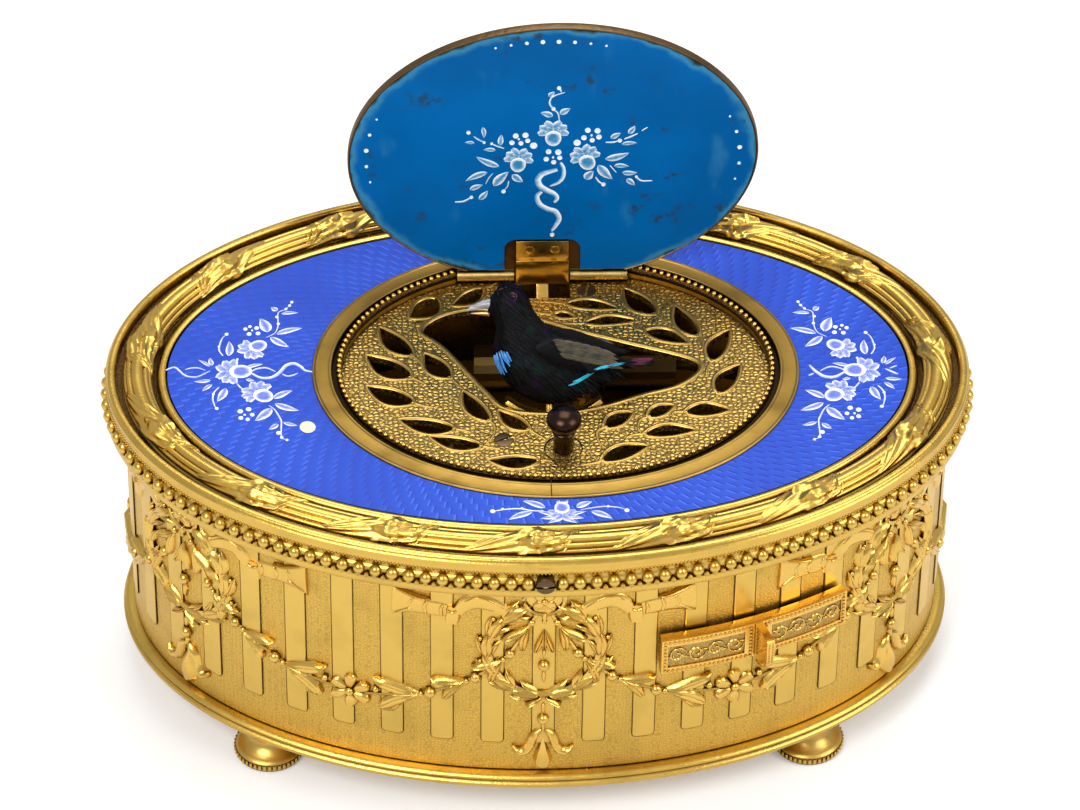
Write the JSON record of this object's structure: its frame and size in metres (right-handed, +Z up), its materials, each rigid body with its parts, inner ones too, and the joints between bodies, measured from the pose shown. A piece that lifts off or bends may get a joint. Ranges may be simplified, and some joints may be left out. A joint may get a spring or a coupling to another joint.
{
  "type": "singing bird box",
  "caption": "Oval gilt box on turned feet; a domed enamelled lid opens over a pierced grille and a small feathered bird rises from it to sing.",
  "frame": {"origin": "on the floor, under the middle of the oval box", "axes": "+Z up, +X along the long oval to the right of someone facing the slide, -Y towards that person; the lid stands open at the back, +Y"},
  "size_m": [0.1164, 0.0772, 0.0873],
  "materials": {
    "gilt": "fire-gilt brass, burnished on the raised parts and matted between",
    "brass": "plain lacquered brass of the movement",
    "steel": "dark polished steel",
    "dark_bronze": "dark burnished bronze",
    "blue_enamel": "ultramarine translucent enamel over engine turning, with white rose sprays",
    "sky_enamel": "cerulean enamel with a white spray",
    "black_feather": "glossy black feathers with coloured flecks",
    "pale_horn": "pale horn",
    "beak_gold": "worn gilt",
    "white_leather": "thin pale goatskin",
    "boxwood": "oiled boxwood"
  },
  "bodies": {
    "case": {"case_wall": "gilt", "base_plate": "gilt", "foot_front_left": "gilt", "foot_front_right": "gilt", "foot_back_left": "gilt", "foot_back_right": "gilt", "top_frame": "gilt", "frame_screw_front": "steel", "frame_screw_back": "steel", "enamel_panel": "blue_enamel", "grille_ring": "gilt", "grille_plate": "gilt", "grille_screw_front": "steel", "grille_screw_back": "steel", "hinge_barrel_left": "gilt", "hinge_barrel_right": "gilt", "hinge_pin": "steel", "bird_bracket": "gilt", "bird_pivot_pin": "steel", "plunger_guide": "gilt", "top_plate": "gilt", "movement_plate": "brass", "movement_pillar_left": "brass", "movement_pillar_front": "brass", "movement_pillar_back": "brass", "grille_pillar_front": "gilt", "grille_pillar_back": "gilt", "barrel_bridge": "brass", "train_bridge": "brass", "bellows_board": "boxwood", "bellows_leather": "white_leather", "whistle_tube": "brass"},
    "lid": {"lid_frame": "gilt", "lid_top_enamel": "blue_enamel", "lid_under_enamel": "sky_enamel", "hinge_block": "gilt"},
    "bird": {"bird_body": "black_feather", "upper_beak": "pale_horn", "bird_stand": "gilt"},
    "left_wing": {"wing_left": "black_feather"},
    "right_wing": {"wing_right": "black_feather"},
    "tail_feathers": {"tail": "black_feather"},
    "beak": {"lower_beak": "beak_gold"},
    "post": {"lid_plunger": "dark_bronze"},
    "slide": {"slide_plate": "gilt", "slide_knob": "gilt", "slide_tongue": "steel"},
    "stop": {"stop_lever": "steel"},
    "barrel": {"spring_barrel": "brass"},
    "winding": {"winding_arbor": "steel", "ratchet_wheel": "steel"},
    "click_pawl": {"click": "steel"},
    "cams": {"cam_stack": "brass", "cam_wheel": "brass"},
    "fan": {"fan_pinion": "steel", "fan_wheel": "brass"},
    "governor": {"governor_fan": "steel"},
    "pump": {"bellows_pump_board": "boxwood"},
    "piston": {"whistle_piston": "steel"}
  },
  "joints": [
    {"name": "lid_hinge", "type": "hinge", "parent": "case", "child": "lid", "pos_m": [0.0011, 0.02, 0.04715], "axis": [1, 0, 0], "range_deg": [0, 95]},
    {"name": "bird_fold", "type": "hinge", "parent": "case", "child": "bird", "pos_m": [0.002, -0.008, 0.0442], "axis": [1, 0, 0], "range_deg": [-58, 0]},
    {"name": "post_drop", "type": "slide", "parent": "case", "child": "post", "axis": [0, 0, 1], "range_m": [-0.0068, 0]},
    {"name": "wing_left_flap", "type": "hinge", "parent": "bird", "child": "left_wing", "pos_m": [0.002, -0.00247, 0.05513], "axis": [1, 0, 0], "range_deg": [-20, 0]},
    {"name": "wing_right_flap", "type": "hinge", "parent": "bird", "child": "right_wing", "pos_m": [0.002, 0.00415, 0.051], "axis": [-1, 0, 0], "range_deg": [-20, 0]},
    {"name": "tail_wag", "type": "hinge", "parent": "bird", "child": "tail_feathers", "pos_m": [0.0099, -0.00133, 0.04958], "axis": [0, 0.848, -0.5299], "range_deg": [-12, 0]},
    {"name": "beak_open", "type": "hinge", "parent": "bird", "child": "beak", "pos_m": [-0.0067, 0.00259, 0.05586], "axis": [0, 0.848, -0.5299], "range_deg": [-14, 0]},
    {"name": "slide_shift", "type": "hinge", "parent": "case", "child": "slide", "pos_m": [0.00401, 0.03229, 0.02915], "axis": [0, 0, 1], "range_deg": [-4.3, 0]},
    {"name": "stop_lever_turn", "type": "hinge", "parent": "case", "child": "stop", "pos_m": [0.02184, -0.01556, 0.02915], "axis": [0, 0, 1], "range_deg": [-26, 0]},
    {"name": "barrel_turn", "type": "hinge", "parent": "case", "child": "barrel", "pos_m": [-0.03, 0.002, 0.028], "axis": [0, 0, 1], "continuous": true},
    {"name": "winding_turn", "type": "hinge", "parent": "case", "child": "winding", "pos_m": [-0.03, 0.002, 0.022], "axis": [0, 0, 1], "continuous": true},
    {"name": "click_lift", "type": "hinge", "parent": "case", "child": "click_pawl", "pos_m": [-0.03, 0.011, 0.035], "axis": [0, 0, 1], "range_deg": [0, 8], "stiffness_Nm_per_rad": 0.0001, "springref_deg": -17.19},
    {"name": "cams_turn", "type": "hinge", "parent": "case", "child": "cams", "pos_m": [-0.01391, -0.0115, 0.028], "axis": [0, 0, 1], "continuous": true},
    {"name": "fan_turn", "type": "hinge", "parent": "case", "child": "fan", "pos_m": [-0.00087, -0.01499, 0.031], "axis": [0, 0, 1], "continuous": true},
    {"name": "governor_spin", "type": "hinge", "parent": "case", "child": "governor", "pos_m": [0.01094, -0.01291, 0.028], "axis": [0, 0, 1], "continuous": true},
    {"name": "bellows_pump", "type": "hinge", "parent": "case", "child": "pump", "pos_m": [0.042, 0, 0.0195], "axis": [0, 1, 0], "range_deg": [0, 10], "deforming": ["bellows_leather"]},
    {"name": "piston_travel", "type": "slide", "parent": "case", "child": "piston", "axis": [1, 0, 0], "range_m": [-0.006, 0]}
  ],
  "couplings": [
    {"joint": "bird_fold", "follows": "lid_hinge", "ratio": -0.6105},
    {"joint": "post_drop", "follows": "lid_hinge", "m_per_rad": -0.0041},
    {"joint": "stop_lever_turn", "follows": "slide_shift", "ratio": 6},
    {"joint": "cams_turn", "follows": "barrel_turn", "ratio": -2.5},
    {"joint": "fan_turn", "follows": "barrel_turn", "ratio": 8.75},
    {"joint": "governor_spin", "follows": "barrel_turn", "ratio": -26.25}
  ]
}
